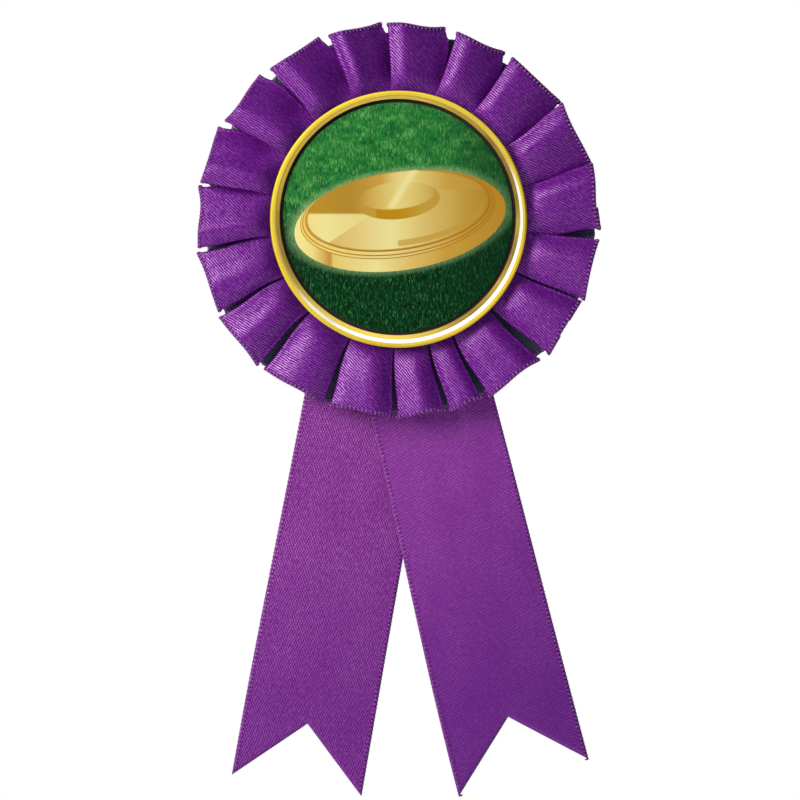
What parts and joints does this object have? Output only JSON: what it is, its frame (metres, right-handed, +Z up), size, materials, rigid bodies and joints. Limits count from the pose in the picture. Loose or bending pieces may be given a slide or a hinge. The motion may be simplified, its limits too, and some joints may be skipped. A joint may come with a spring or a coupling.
{
  "type": "award ribbon",
  "caption": "Pleated satin award rosette with a gold-rimmed button centre, two swallow-tailed streamers and a brooch pin on its back.",
  "frame": {"origin": "on the axis of the brooch pin's stem, in its straight part, above the centre of the rosette", "axes": "+X along the stem towards its tip, +Z up, the front of the rosette faces -Y"},
  "size_m": [0.0905, 0.0171, 0.174],
  "materials": {
    "satin": "single-faced satin ribbon with a woven selvage, matt on its back",
    "thread": "twisted polyester sewing thread",
    "card": "plain white pasteboard",
    "staple_wire": "bright galvanised wire",
    "hot_glue": "set hot-melt glue, slightly cloudy",
    "tinplate": "pressed tinplate",
    "foam_pad": "black foam sheet",
    "print": "glossy printed picture of a gold flying disc on mown grass",
    "clear_film": "clear polyester film",
    "gilt": "bright gilt sheet metal",
    "nickel": "nickel-plated steel"
  },
  "bodies": {
    "rosette": {"pleat_ring": "satin", "gathering_stitches": "thread", "front_card": "card", "pleat_staples": "staple_wire", "back_card": "card", "front_tail_top": "satin", "rear_tail_top": "satin", "tail_staples": "staple_wire", "rear_glue": "hot_glue", "front_glue": "hot_glue", "button_back": "tinplate", "insert_pad": "foam_pad", "insert_print": "print", "clear_cover": "clear_film", "bezel": "gilt", "pin_bar": "nickel", "bar_rivets": "nickel", "catch_housing": "nickel", "hinge_rivet": "nickel"},
    "front_tail": {"front_tail": "satin"},
    "rear_tail": {"rear_tail": "satin"},
    "catch": {"catch_barrel": "nickel"},
    "pin": {"pin_stem": "nickel"}
  },
  "joints": [
    {"name": "pin_open", "type": "hinge", "parent": "rosette", "child": "pin", "pos_m": [-0.0135, 0, 0], "axis": [0, 0, 1], "range_deg": [0, 75]},
    {"name": "catch_turn", "type": "hinge", "parent": "rosette", "child": "catch", "pos_m": [0.0124, 0, 0], "axis": [1, 0, 0], "range_deg": [0, 150]},
    {"name": "front_tail_swing", "type": "hinge", "parent": "rosette", "child": "front_tail", "pos_m": [0.012, -0.0069, -0.0555], "axis": [1, 0, 0], "range_deg": [-60, 0]},
    {"name": "rear_tail_swing", "type": "hinge", "parent": "rosette", "child": "rear_tail", "pos_m": [-0.008, -0.0062, -0.0555], "axis": [1, 0, 0], "range_deg": [0, 60]}
  ]
}
